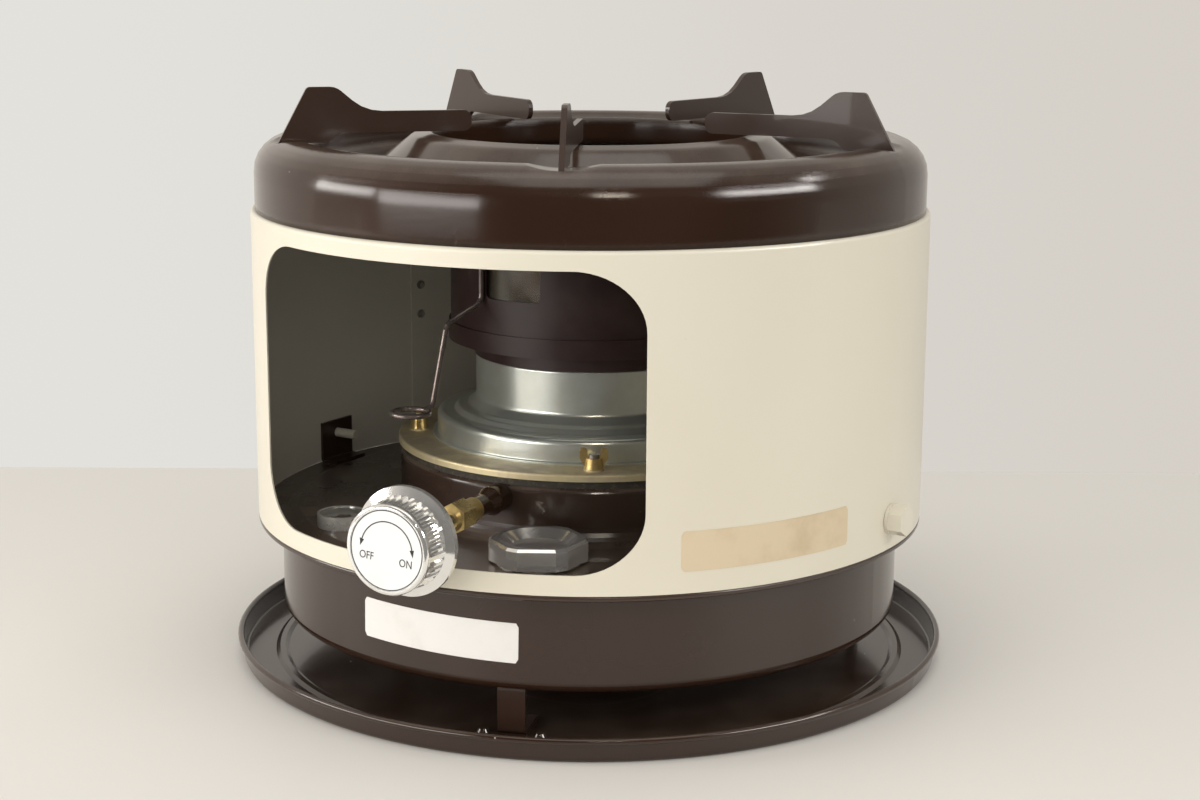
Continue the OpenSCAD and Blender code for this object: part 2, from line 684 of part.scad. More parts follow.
// Brass gland: a round body over the packing and a hexagon to tighten it
module gland_nut() color("#b5913f") radial(spindle_az, sleeve_end, spindle_z) difference() {
    union() {
        cylinder(r = gland_body_r, h = gland_body_l);
        translate([0, 0, gland_body_l]) cylinder(r = gland_af / 2 / cos(30), h = gland_l, $fn = 6);
        translate([0, 0, gland_body_l + gland_l]) cylinder(r1 = gland_af / 2 - 0.8, r2 = gland_af / 2 - 2.4, h = 1.4);
    }
    translate([0, 0, -cut]) cylinder(r = spindle_r + running_gap, h = gland_body_l + gland_l + 3 + cut);
    translate([0, 0, -cut]) cylinder(r = gland_body_r - 1.6 + seat_gap, h = 4 + seat_gap + cut);
}

// Chromed knob: back flange, ridged grip that narrows forwards and a rounded rim around the dial
module knob() color("#d3d5d8") radial(spindle_az, knob_back, spindle_z) difference() {
    root_r = knob_face_r + 0.8;
    union() {
        cylinder(r = knob_r, h = 2.6);
        translate([0, 0, 2.6]) cylinder(r1 = knob_r, r2 = root_r + 0.3, h = 1.6);
        linear_extrude(knob_depth - 3, scale = (knob_face_r + 0.4) / (root_r + 0.8)) polygon([
            for (i = [0:knob_ridges - 1], k = [0:3])
                let (r = root_r + (k == 1 || k == 2 ? 0.8 : 0), a = (i + [0.1, 0.3, 0.6, 0.8][k]) * 360 / knob_ridges)
                r * [cos(a), sin(a)]
        ]);
        translate([0, 0, knob_depth - 3]) rotate_extrude()
            polygon(concat([[0, 0]], rounded([[knob_face_r + 0.6, 0, 0], [knob_face_r + 0.6, 3, 1.6], [0, 3, 0]], 15)));
    }
    translate([0, 0, knob_depth - dial_t]) cylinder(r = dial_r, h = dial_t + cut);
    translate([0, 0, -cut]) cylinder(r = spindle_r + seat_gap, h = knob_depth - 6 + cut);
    // Hollow behind the flange
    translate([0, 0, -cut]) ring(6, knob_r - 2.4, 0, 2.6);
}

dial_t = 1;

module knob_dial() color("#f1f1ee") radial(spindle_az, knob_back + knob_depth - dial_t, spindle_z)
    cylinder(r = dial_r - seat_gap, h = dial_t - 0.3);

// ---------------------------------------------------------------- chimney

drum_z = guide_z + ring_h;
drum_foot_t = 1;

// Ring that stands on the wick guide, spreads out under the drum and bands its foot
module chimney_base() color("#33251f") rotate_extrude() {
    band_r = drum_r + seat_gap + drum_foot_t;
    foot_in = bore_r + 2.4;
    polygon([[foot_in, guide_z], [neck_r + 0.6, guide_z], [neck_r + 0.6, drum_z - drum_foot_t],
             [band_r, drum_z - drum_foot_t], [band_r, drum_z + band_h], [band_r - drum_foot_t, drum_z + band_h],
             [band_r - drum_foot_t, drum_z], [neck_r + 0.6 - drum_foot_t, drum_z],
             [neck_r + 0.6 - drum_foot_t, guide_z + drum_foot_t], [foot_in, guide_z + drum_foot_t]]);
}

peep_sill = 25;

module chimney_drum() color("#33251f") difference() {
    ring(drum_r - drum_gauge, drum_r, drum_z, drum_z + drum_h);
    radial(peep_az, drum_r / 2, drum_z + peep_sill + peep_h / 2) linear_extrude(drum_r)
        rounded_rect(peep_h, peep_w, 3);
    radial(handle_az, drum_r - 4, drum_z + handle_top) cylinder(r = wire_r + 2 * WIRE_JOINT, h = 8);
}

module peep_pane() color("#b9ab8c") intersection() {
    pane_r = drum_r - drum_gauge - seat_gap;
    ring(pane_r - 0.4, pane_r, drum_z, drum_z + drum_h);
    radial(peep_az, drum_r / 2, drum_z + peep_sill + peep_h / 2) linear_extrude(drum_r)
        square([peep_h + 8, peep_w + 8], center = true);
}

flame_t = 0.8;
flame_rows = 5;
flame_columns = 16;

// Upright tube with staggered rows of holes through its wall
module flame_cylinder(r, z0) difference() {
    row_rise = (flame_h - 26) / (flame_rows - 1);
    ring(r - flame_t, r, z0, z0 + flame_h);
    for (row = [0:flame_rows - 1], i = [0:flame_columns - 1])
        radial((i + row / 2 + 0.25) * 360 / flame_columns, r - 3, z0 + 12 + row * row_rise)
            cylinder(r = flame_hole_r, h = 6, $fn = 24);
    for (z = pin_heights, a = [0:90:270])
        radial(a, r - 3, z + (a % 180 == 0 ? 0 : pin_step)) cylinder(r = pin_r + seat_gap, h = 6);
}

pin_r = 1.2;
pin_step = 2 * pin_r + 0.1;
pin_heights = [guide_z + 16.25, guide_z + flame_h - 6];

module outer_flame_cylinder() color("#6f6a62")
    flame_cylinder(flame_outer_r, guide_z + drum_foot_t);

module inner_flame_cylinder() color("#6f6a62")
    flame_cylinder(flame_inner_r, guide_z);

// Cap that closes the inner cylinder and turns the flame outwards
module flame_spreader() color("#5d5852")
    pressing([[flame_inner_r + 6, guide_z + flame_h + flame_t, 0], [flame_inner_r + 1, guide_z + flame_h + flame_t, 1],
              [flame_inner_r - 2, guide_z + flame_h + 6, 3], [8, guide_z + flame_h + 10, 4],
              [0, guide_z + flame_h + 10, 0]], flame_t);

module cross_pins() color("#77726a") for (z = pin_heights) {
    translate([0, 0, z]) rotate([0, 90, 0]) cylinder(r = pin_r, h = 2 * flame_outer_r + 3, center = true);
    translate([0, 0, z + pin_step]) rotate([90, 0, 0])
        cylinder(r = pin_r, h = 2 * flame_outer_r + 3, center = true);
}

// Round wire that follows [r, z, bend radius] in the plane of its angle
module bent_wire(path) {
    spots = rounded(path, WIRE_STEP);
    for (i = [1:len(spots) - 1]) let (along = spots[i] - spots[i - 1])
        translate([spots[i - 1].x, 0, spots[i - 1].y]) rotate([0, atan2(along.x, along.y), 0])
            cylinder(r = wire_r, h = norm(along));
    for (i = [1:len(spots) - 2])
        translate([spots[i].x, 0, spots[i].y]) sphere(r = wire_r + WIRE_JOINT);
}

handle_leg = drum_r + wire_r + free_gap;

// Wire handle: hooked into the drum, down its wall, out and down to a finger loop
module lifting_handle() color("#4a4440") at(handle_az, 0, 0) {
    loop_at = [drum_r + loop_out, drum_z - loop_drop];
    tight = 1.6 * wire_r;
    wide = 4 * wire_r;
    bent_wire([[drum_r - 2 * tight, drum_z + handle_top, 0], [handle_leg, drum_z + handle_top, tight],
               [handle_leg, drum_z + handle_bend, wide],
               [drum_r + shoulder_out, drum_z + handle_bend - 4 * tight, wide],
               [loop_at.x - loop_r - 2 * tight, loop_at.y + wire_r, 2 * tight],
               [loop_at.x - loop_r, loop_at.y, 0]]);
    translate([loop_at.x, 0, loop_at.y]) rotate_extrude() translate([loop_r, 0]) circle(r = wire_r, $fn = 24);
}

// ---------------------------------------------------------------- cabinet

screw_shank_r = 2.5;

module cabinet() color("#e3dcc6") difference() {
    union() {
        pressing([[cabinet_r, rim_z, 0], [cabinet_r, cabinet_z, 1.8], [cabinet_r - lip_w, cabinet_z, 0]],
                 cabinet_gauge);
        // Lap of the seam, inside the wall
        rotate([0, 0, seam_az]) rotate_extrude(angle = 4.2)
            translate([cabinet_r - 2 * cabinet_gauge, rim_z + 4]) square([cabinet_gauge + 0.01, cabinet_h - 8]);
    }
    translate([0, 0, rim_z + sill_h + window_h / 2]) rotate([90, 0, 0])
        linear_extrude(cabinet_r + 4) rounded_rect(window_w, window_h, window_corner);
    for (turn = [0, 180]) radial(screw_az + turn, cabinet_r - 4, rim_z + screw_up)
        cylinder(r = screw_shank_r + seat_gap, h = 8);
}

rivet_h = 1.6;

module seam_rivets() color("#3a332c") for (z = [72, 88.5])
    radial(seam_az + 2.1, cabinet_r - 2 * cabinet_gauge - rivet_h - seat_gap, rim_z + z)
        cylinder(r1 = 1.6, r2 = 2.4, h = rivet_h);

module cabinet_screws() color("#e0d9c3") for (turn = [0, 180]) radial(screw_az + turn, 0, rim_z + screw_up) {
    translate([0, 0, cabinet_r + seat_gap]) cylinder(r = screw_af / 2 + 0.8, h = 1.4);
    translate([0, 0, cabinet_r + 1.4]) cylinder(r = screw_af / 2 / cos(30), h = 7, $fn = 6);
    translate([0, 0, cabinet_r - 16]) cylinder(r = screw_shank_r, h = 18);
}

// ---------------------------------------------------------------- hob

trough_z = crest_z - trough_depth;
crest_in = hob_r - crest_w;
collar_foot = hob_hole_r + collar_w;

hob_path = [
    [hob_r, cabinet_z, 0], [hob_r, crest_z, roll_r], [crest_in, crest_z, 8.5],
    [crest_in - 3, trough_z, 5], [collar_foot, trough_z, 5], [collar_foot - 18.5, crest_z, 5],
    [hob_hole_r, collar_z, 2.4], [hob_hole_r - 0.6, collar_z - 14, 0]
];

// Horizontal roller whose lowest line dents the crest at one angle
module dent_roller(az, r) {
    roller_r = 60;
    radial(az, crest_in - 4, crest_z - dent_depth + roller_r)
        cylinder(r = roller_r + r, h = crest_w + 10);
}

module hob_plate() color("#3b2a24") difference() {
    union() {
        pressing(hob_path, hob_gauge);
        // Metal pushed down under each dent
        intersection() {
            pressing([hob_path[0], hob_path[1], hob_path[2], hob_path[3]] , hob_gauge + dent_depth);
            union() for (i = [0:support_count - 1]) dent_roller(support_az + i * 360 / support_count, hob_gauge);
        }
    }
    for (i = [0:support_count - 1]) dent_roller(support_az + i * 360 / support_count, 0);
}

// Upright plate: a low bar over the opening that rises to a horn at the rim
module pot_supports() color("#3b2a24") {
    bar_z = collar_z + free_gap;
    base_z = crest_z - dent_depth + seat_gap;
    top_z = bar_z + support_bar_h;
    horn_z = top_z + support_horn_h;
    outer = hob_r - 11.3;
    horn_r = outer - 14.2;
    for (i = [0:support_count - 1]) rotate([0, 0, support_az + i * 360 / support_count])
        rotate([90, 0, 0]) linear_extrude(support_t, center = true) polygon(rounded([
            [outer - support_foot_l / 2, base_z, 0], [outer, base_z, 0], [horn_r, horn_z, 2.5],
            [horn_r - support_horn_l, horn_z, 8], [horn_r - 2 * support_horn_l, top_z, 22],
            [support_tip_r, top_z, 4], [support_tip_r, bar_z, 4],
            [outer - support_foot_l - 6, bar_z, 3], [outer - support_foot_l, base_z, 1]]));
}

// ---------------------------------------------------------------- show

drip_tray();
tank_feet();
fuel_tank();
tank_deck();
draught_tube();
filler_neck();
filler_strainer();
filler_seal();
filler_cap();
gauge_housing();
gauge_dial();
gauge_glass();
gauge_needle();
float_arm();
fuel_float();
cabinet_brackets();
seat_gasket();
flange_plate();
flange_studs();
stud_washers();
wing_nuts();
wick_guide();
wick();
wick_carrier();
pinion();
spindle();
spindle_sleeve();
gland_packing();
gland_nut();
knob();
knob_dial();
chimney_base();
chimney_drum();
peep_pane();
outer_flame_cylinder();
inner_flame_cylinder();
flame_spreader();
cross_pins();
lifting_handle();
cabinet();
seam_rivets();
cabinet_screws();
hob_plate();
pot_supports();
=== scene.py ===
# %% [markdown]
# # A round kerosene wick stove, dressed in Blender
# The solid model already has every real piece at its real size. This lesson gives each piece
# the finish it has on a used stove: stoved enamel, cream cabinet paint, zinc and chrome
# plating, brass, a woven wick. It adds the few things that are too thin for the solid model,
# which are bare labels and the printing of a dial, and then sets a plain studio around it.

# %% Open the frame
import math
import bpy
import bmesh
from mathutils import Matrix, Vector


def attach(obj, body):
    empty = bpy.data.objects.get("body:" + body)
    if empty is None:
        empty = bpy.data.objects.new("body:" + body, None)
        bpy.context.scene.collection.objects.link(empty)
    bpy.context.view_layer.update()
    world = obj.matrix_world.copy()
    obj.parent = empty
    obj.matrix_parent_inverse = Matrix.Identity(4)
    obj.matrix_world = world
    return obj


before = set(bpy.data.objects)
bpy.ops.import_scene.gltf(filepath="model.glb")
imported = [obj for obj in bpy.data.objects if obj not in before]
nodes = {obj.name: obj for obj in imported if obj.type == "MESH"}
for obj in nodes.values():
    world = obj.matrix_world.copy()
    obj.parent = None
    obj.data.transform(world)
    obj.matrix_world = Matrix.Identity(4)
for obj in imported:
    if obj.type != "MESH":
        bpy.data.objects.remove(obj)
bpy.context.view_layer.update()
scene = bpy.context.scene

# %% [markdown]
# ## Sizes that several pieces share
# The stove is a stack of round pieces about one upright axis, so most places on it are an
# angle and a distance from that axis. Everything is in metres, with the window facing -Y.

# %% Shared sizes
MM = 0.001
TANK_R, CABINET_R = 154.3 * MM, 165.9 * MM
SPINDLE_AZ, SPINDLE_Z = -87.3, 96.5 * MM
DIAL_AT = 196.9 * MM


def around(azimuth, radius, z):
    """The point at an angle (degrees) and distance from the stove's axis."""
    a = math.radians(azimuth)
    return Vector((radius * math.cos(a), radius * math.sin(a), z))


print("knob face at", around(SPINDLE_AZ, DIAL_AT, SPINDLE_Z))

# %% [markdown]
# ## Short names for shader nodes
# Every material here is built from nodes in code, so a few helpers keep that readable: one
# adds a node, one joins two sockets, and the rest are the sums that come up again and again.

# %% Shader helpers
def node(tree, kind, **settings):
    """A new node with its settings."""
    made = tree.nodes.new(kind)
    for key, value in settings.items():
        setattr(made, key, value)
    return made


def link(tree, source, target):
    tree.links.new(source, target)


def calc(tree, operation, first, second=None, third=None, clamp=False):
    """One Math node. Each operand is a number or a socket."""
    made = node(tree, "ShaderNodeMath", operation=operation, use_clamp=clamp)
    for place, value in enumerate((first, second, third)):
        if value is None:
            continue
        if isinstance(value, (int, float)):
            made.inputs[place].default_value = value
        else:
            link(tree, value, made.inputs[place])
    return made.outputs[0]


def smooth_step(tree, value, low, high, to_low=0.0, to_high=1.0):
    """A soft threshold: to_low below low, to_high above high."""
    made = node(tree, "ShaderNodeMapRange", interpolation_type="SMOOTHSTEP")
    for label, given in (("Value", value), ("From Min", low), ("From Max", high),
                         ("To Min", to_low), ("To Max", to_high)):
        if isinstance(given, (int, float)):
            made.inputs[label].default_value = given
        else:
            link(tree, given, made.inputs[label])
    return made.outputs["Result"]


def noise(tree, scale, detail=2.0, roughness=0.5, vector=None):
    """Soft random patches. The scale is how many there are to a metre, about."""
    made = node(tree, "ShaderNodeTexNoise")
    made.inputs["Detail"].default_value = detail
    made.inputs["Roughness"].default_value = roughness
    if isinstance(scale, (int, float)):
        made.inputs["Scale"].default_value = scale
    else:
        link(tree, scale, made.inputs["Scale"])
    if vector is None:
        vector = node(tree, "ShaderNodeTexCoord").outputs["Object"]
    link(tree, vector, made.inputs["Vector"])
    return made.outputs["Fac"]


print("shader helpers ready")

# %% [markdown]
# ## The camera
# The camera stands where the photographer's did: about a metre away, a little above the
# stove and to the right of the window, with a short telephoto lens. A camera looks down its
# own -Z, so the three axes are built from the direction of view, and then rolled by the
# third of a degree by which the picture is tilted.

# %% Camera
EYE = Vector((0.5081, -0.9280, 0.3516))
LOOK_AZIMUTH, LOOK_PITCH, ROLL = 118.43, math.radians(-12.124), math.radians(0.287)
LENS_MM, SENSOR_MM = 64.54, 36

look = around(LOOK_AZIMUTH, math.cos(LOOK_PITCH), math.sin(LOOK_PITCH))
side = look.cross(Vector((0, 0, 1))).normalized()
up = side.cross(look)
camera_data = bpy.data.cameras.new("camera")
camera_data.lens = LENS_MM
camera_data.sensor_width = SENSOR_MM
camera = bpy.data.objects.new("camera", camera_data)
turn = Matrix((side, up, -look)).transposed().to_4x4()
camera.matrix_world = Matrix.Translation(EYE) @ turn @ Matrix.Rotation(ROLL, 4, "Z")
scene.collection.objects.link(camera)
scene.camera = camera
print("camera at", tuple(round(v, 3) for v in EYE))

# %% [markdown]
# ## The studio
# A pale floor runs from a straight edge some way behind the stove to one just in front of it,
# and the wall behind is a little darker to the right. What the camera sees, what lights the
# stove and what shines in its enamel are three different worlds here. The one that shines is
# pale at the sides and behind the stove and dim behind the camera, and glossy brown shows
# that as much as it shows the lamps.

# %% Floor and world
FLOOR_BACK, FLOOR_FRONT, FLOOR_HALF_WIDTH = 0.353, 0.42, 3
FLOOR_COLOUR, FLOOR_SHADE, FLOOR_ROUGHNESS = (0.76, 0.735, 0.69), 0.97, 0.55
WALL_LEFT, WALL_RIGHT = (0.765, 0.755, 0.715), (0.665, 0.625, 0.575)
ROOM_LIGHT, ROOM_STRENGTH = (1.0, 0.98, 0.95), 0.60
SHINE = (1.0, 0.93, 0.84)
SHINE_LEFT, SHINE_RIGHT, SHINE_BEHIND_CAMERA, SHINE_ABOVE = 0.80, 0.55, 0.06, 0.34

floor_material = bpy.data.materials.new("studio_floor")
floor_material.use_nodes = True
tree = floor_material.node_tree
skin = tree.nodes["Principled BSDF"]
skin.inputs["Roughness"].default_value = FLOOR_ROUGHNESS
grain = node(tree, "ShaderNodeTexNoise")
grain.inputs["Scale"].default_value = 3.0
tint = node(tree, "ShaderNodeMix", data_type="RGBA")
tint.inputs["A"].default_value = (*FLOOR_COLOUR, 1)
tint.inputs["B"].default_value = (*(c * FLOOR_SHADE for c in FLOOR_COLOUR), 1)
link(tree, grain.outputs["Fac"], tint.inputs["Factor"])
link(tree, tint.outputs["Result"], skin.inputs["Base Color"])

away = Vector((look.x, look.y, 0)).normalized()
across = Vector((away.y, -away.x, 0))
floor_mesh = bpy.data.meshes.new("floor")
floor_mesh.from_pydata([away * depth + across * wide * FLOOR_HALF_WIDTH for depth, wide in
                        ((FLOOR_BACK, -1), (FLOOR_BACK, 1), (-FLOOR_FRONT, 1), (-FLOOR_FRONT, -1))],
                       [], [(0, 1, 2, 3)])
floor_mesh.materials.append(floor_material)
floor = bpy.data.objects.new("floor", floor_mesh)
scene.collection.objects.link(floor)

world = bpy.data.worlds.new("studio")
scene.world = world
world.use_nodes = True
tree = world.node_tree
tree.nodes.clear()
direction = node(tree, "ShaderNodeTexCoord").outputs["Generated"]


def towards(axis):
    """How far a ray of the world heads along an axis, from -1 to 1."""
    made = node(tree, "ShaderNodeVectorMath", operation="DOT_PRODUCT")
    link(tree, direction, made.inputs[0])
    made.inputs[1].default_value = axis
    return made.outputs["Value"]


wall = node(tree, "ShaderNodeMix", data_type="RGBA")
link(tree, smooth_step(tree, towards(across), -0.28, 0.30), wall.inputs["Factor"])
wall.inputs["A"].default_value = (*WALL_LEFT, 1)
wall.inputs["B"].default_value = (*WALL_RIGHT, 1)
seen = node(tree, "ShaderNodeBackground")
link(tree, wall.outputs["Result"], seen.inputs["Color"])
lit = node(tree, "ShaderNodeBackground")
lit.inputs["Color"].default_value = (*ROOM_LIGHT, 1)
lit.inputs["Strength"].default_value = ROOM_STRENGTH
shown = node(tree, "ShaderNodeBackground")
shown.inputs["Color"].default_value = (*SHINE, 1)
beside = smooth_step(tree, towards(across), -0.5, 0.5, SHINE_LEFT, SHINE_RIGHT)
level = smooth_step(tree, towards(-away), -0.2, 0.7, beside, SHINE_BEHIND_CAMERA)
above = smooth_step(tree, towards((0, 0, 1)), 0.6, 0.95, 0.0, SHINE_ABOVE)
link(tree, calc(tree, "MAXIMUM", level, above), shown.inputs["Strength"])
path = node(tree, "ShaderNodeLightPath")
indirect = node(tree, "ShaderNodeMixShader")
link(tree, path.outputs["Is Glossy Ray"], indirect.inputs["Fac"])
link(tree, lit.outputs[0], indirect.inputs[1])
link(tree, shown.outputs[0], indirect.inputs[2])
mix = node(tree, "ShaderNodeMixShader")
out = node(tree, "ShaderNodeOutputWorld")
link(tree, path.outputs["Is Camera Ray"], mix.inputs["Fac"])
link(tree, indirect.outputs[0], mix.inputs[1])
link(tree, seen.outputs[0], mix.inputs[2])
link(tree, mix.outputs[0], out.inputs["Surface"])
print("floor ends", FLOOR_BACK, "m behind the axis")

# %% [markdown]
# ## The lights
# Glossy enamel shows the lamps as much as their light. Soft boxes at the left and right put the
# long pale streaks on the rolled top and on the chrome, and a wide overhead panel fills the
# floor and the top. Light bounced from the room in front reaches in through the window. It
# comes from everywhere at once and leaves no streak, so its panel is hidden from reflections.
# Three small panels do the opposite: they only shine in the gloss, as far windows do. Each
# panel points at the middle of the stove, and its size is in metres and its power in watts.

# %% Soft boxes
TARGET = Vector((0, 0, 0.14))


def soft_box(name, azimuth, distance, height, width, tall, power, colour=(1, 0.97, 0.93)):
    """A rectangular lamp. The azimuth is counted from the camera's side, positive to its right."""
    data = bpy.data.lights.new(name, "AREA")
    data.shape = "RECTANGLE"
    data.size, data.size_y = width, tall
    data.energy, data.color = power, colour
    lamp = bpy.data.objects.new(name, data)
    a = math.radians(azimuth)
    place = (-away * math.cos(a) + across * math.sin(a)) * distance + Vector((0, 0, height))
    lamp.location = place
    lamp.rotation_euler = (TARGET - place).to_track_quat("-Z", "Y").to_euler()
    scene.collection.objects.link(lamp)
    return lamp


soft_box("left_box", -85, 1.6, 0.48, 0.75, 0.38, 8)
soft_box("left_front_box", -52, 1.8, 0.34, 1.15, 0.60, 13)
soft_box("right_box", 59, 1.7, 0.95, 1.15, 0.24, 6)
soft_box("overhead", 10, 0.35, 1.7, 1.4, 1.4, 7)
front_fill = soft_box("front_fill", 12, 1.9, 0.65, 2.0, 1.0, 7)
front_fill.visible_glossy = False
for shine in (soft_box("right_shine", 62, 1.7, 0.93, 1.10, 0.34, 14),
              soft_box("right_side_shine", 93, 1.7, 1.60, 0.35, 0.12, 3),
              soft_box("ceiling_shine", 7, 2.2, 1.36, 0.45, 0.05, 4, (1, 0.9, 0.75))):
    shine.visible_diffuse = False

# %% [markdown]
# ## Shared effects
# Wear, dust, specks and grain turn up in many finishes, so each is a node group that is built
# once. A group gives only a mask or a height, and each material decides what to do with it.
# Object coordinates are in metres here, so a scale of 1000 makes features of about 1 mm.

# %% New group
def new_group(name, output, **inputs):
    """A node group of plain numbers: its tree, what comes in and the place for what goes out."""
    group = bpy.data.node_groups.new(name, "ShaderNodeTree")
    for label, value in inputs.items():
        socket = group.interface.new_socket(label, in_out="INPUT", socket_type="NodeSocketFloat")
        socket.default_value = value
    group.interface.new_socket(output, in_out="OUTPUT", socket_type="NodeSocketFloat")
    return group, node(group, "NodeGroupInput").outputs, node(group, "NodeGroupOutput").inputs


print("groups can be built")

# %% [markdown]
# Specks are the pinholes, dust nibs and tiny chips in old enamel. A Voronoi texture gives the
# distance to scattered points, and only a few of its cells are let through by a random number
# that each cell carries.

# %% Speck group
def build_specks():
    g, given, out = new_group("speck_mask", "Mask", Scale=220.0, Size=0.12, Share=0.1)
    cells = node(g, "ShaderNodeTexVoronoi")
    place = node(g, "ShaderNodeTexCoord")
    link(g, place.outputs["Object"], cells.inputs["Vector"])
    link(g, given["Scale"], cells.inputs["Scale"])
    split = node(g, "ShaderNodeSeparateColor")
    link(g, cells.outputs["Color"], split.inputs["Color"])
    chosen = calc(g, "LESS_THAN", split.outputs[0], given["Share"])
    size = calc(g, "MULTIPLY", given["Size"], calc(g, "ADD", split.outputs[1], 0.3))
    dot = smooth_step(g, calc(g, "DIVIDE", cells.outputs["Distance"], size), 1.0, 0.6)
    link(g, calc(g, "MULTIPLY", chosen, dot), out["Mask"])
    return g


# %% [markdown]
# Dust settles on what faces upwards, in uneven drifts. The normal's Z says how level the
# surface is, and two sizes of noise break it up.

# %% Dust group
def build_dust():
    g, given, out = new_group("dust_mask", "Mask", Amount=0.5, Scale=40.0)
    geometry = node(g, "ShaderNodeNewGeometry")
    split = node(g, "ShaderNodeSeparateXYZ")
    link(g, geometry.outputs["Normal"], split.inputs[0])
    level = smooth_step(g, split.outputs["Z"], 0.25, 1.0)
    drift = smooth_step(g, noise(g, given["Scale"], 4.0, 0.6), 0.35, 0.75)
    fine = noise(g, 1400.0, 1.0)
    thick = calc(g, "MULTIPLY_ADD", drift, 0.8, calc(g, "MULTIPLY", fine, 0.35))
    both = calc(g, "MULTIPLY", level, thick)
    link(g, calc(g, "MULTIPLY", both, given["Amount"], clamp=True), out["Mask"])
    return g


# %% [markdown]
# Paint and plating wear through first on sharp outside edges. Pointiness is high there, and
# noise makes the wear come and go along the edge.

# %% Edge wear group
def build_wear():
    g, given, out = new_group("edge_wear", "Mask", Threshold=0.56, Scale=160.0)
    geometry = node(g, "ShaderNodeNewGeometry")
    ragged = calc(g, "MULTIPLY_ADD", noise(g, given["Scale"], 4.0, 0.65), 0.10, -0.05)
    sharp = calc(g, "ADD", geometry.outputs["Pointiness"], ragged)
    high = calc(g, "ADD", given["Threshold"], 0.05)
    link(g, smooth_step(g, sharp, given["Threshold"], high), out["Mask"])
    return g


# %% [markdown]
# Sheet that was spun, rolled or turned keeps fine lines that run around its axis. Stretching
# noise flat in height makes them on upright walls, and the distance from the axis makes them
# on level faces.

# %% Spun line group
def build_spun():
    g, given, out = new_group("spun_lines", "Height", Scale=900.0)
    place = node(g, "ShaderNodeTexCoord")
    split = node(g, "ShaderNodeSeparateXYZ")
    link(g, place.outputs["Object"], split.inputs[0])
    flat = node(g, "ShaderNodeCombineXYZ")
    link(g, split.outputs["X"], flat.inputs["X"])
    link(g, split.outputs["Y"], flat.inputs["Y"])
    length = node(g, "ShaderNodeVectorMath", operation="LENGTH")
    link(g, flat.outputs[0], length.inputs[0])
    ruled = node(g, "ShaderNodeCombineXYZ")
    link(g, calc(g, "ADD", split.outputs["Z"], length.outputs["Value"]), ruled.inputs["X"])
    link(g, calc(g, "MULTIPLY", split.outputs["X"], 0.02), ruled.inputs["Y"])
    link(g, noise(g, given["Scale"], 3.0, 0.7, vector=ruled.outputs[0]), out["Height"])
    return g


SPECKS, DUST, WEAR, SPUN = build_specks(), build_dust(), build_wear(), build_spun()
print("effect groups:", SPECKS.name, DUST.name, WEAR.name, SPUN.name)

# %% [markdown]
# ## Finishes
# Each finish starts as one Principled shader. Colours are layered on with masks, and the
# numbers that are the same all over are set on the shader's own sockets.

# %% Finish helpers
SOFT_SAMPLES = 8


class Finish:
    """A material under construction: a Principled shader and what is built up for it so far."""

    def __init__(self, name, colour, roughness, metallic=0.0, **sockets):
        self.material = bpy.data.materials.new(name)
        self.material.use_nodes = True
        self.tree = self.material.node_tree
        self.skin = self.tree.nodes["Principled BSDF"]
        self.skin.inputs["Metallic"].default_value = metallic
        for label, value in sockets.items():
            self.skin.inputs[label.replace("_", " ")].default_value = value
        self.base = roughness
        self.rough = None
        self.normal = None
        self.skin.inputs["Roughness"].default_value = roughness
        start = node(self.tree, "ShaderNodeRGB")
        start.outputs[0].default_value = (*colour, 1)
        self.colour = start.outputs[0]
        self.heights = []

    def group(self, group, output, **values):
        """What a shared effect gives for these values."""
        made = node(self.tree, "ShaderNodeGroup", node_tree=group)
        for label, value in values.items():
            made.inputs[label].default_value = value
        return made.outputs[output]

    def noise(self, scale, detail=2.0, roughness=0.5):
        return noise(self.tree, scale, detail, roughness)

    def mask(self, value, low, high):
        return smooth_step(self.tree, value, low, high)

    def calc(self, *given):
        return calc(self.tree, *given)

    def layer(self, mask, colour, roughness=None):
        """Lay a colour, and perhaps its own roughness, over what is there so far."""
        mix = node(self.tree, "ShaderNodeMix", data_type="RGBA")
        link(self.tree, mask, mix.inputs["Factor"])
        link(self.tree, self.colour, mix.inputs["A"])
        mix.inputs["B"].default_value = (*colour, 1)
        self.colour = mix.outputs["Result"]
        if roughness is not None:
            self.vary(mask, roughness)

    def vary(self, mask, roughness):
        """Change the roughness where the mask is."""
        mix = node(self.tree, "ShaderNodeMix", data_type="FLOAT")
        link(self.tree, mask, mix.inputs["Factor"])
        if self.rough is None:
            mix.inputs["A"].default_value = self.base
        else:
            link(self.tree, self.rough, mix.inputs["A"])
        mix.inputs["B"].default_value = roughness
        self.rough = mix.outputs["Result"]

    def soften(self, radius):
        """Let the light turn gently over edges, as it does on drawn sheet under thick enamel."""
        made = node(self.tree, "ShaderNodeBevel", samples=SOFT_SAMPLES)
        made.inputs["Radius"].default_value = radius
        self.normal = made.outputs["Normal"]
        link(self.tree, self.normal, self.skin.inputs["Coat Normal"])

    def bump(self, height, distance, strength):
        """Add fine relief. The distance is in metres."""
        self.heights.append((height, distance, strength))

    def done(self):
        """Join everything to the shader and give the material."""
        link(self.tree, self.colour, self.skin.inputs["Base Color"])
        if self.rough is not None:
            link(self.tree, self.rough, self.skin.inputs["Roughness"])
        normal = self.normal
        for height, distance, strength in self.heights:
            bump = node(self.tree, "ShaderNodeBump")
            bump.inputs["Distance"].default_value = distance
            bump.inputs["Strength"].default_value = strength
            link(self.tree, height, bump.inputs["Height"])
            if normal is not None:
                link(self.tree, normal, bump.inputs["Normal"])
            normal = bump.outputs["Normal"]
        if normal is not None:
            link(self.tree, normal, self.skin.inputs["Normal"])
        return self.material


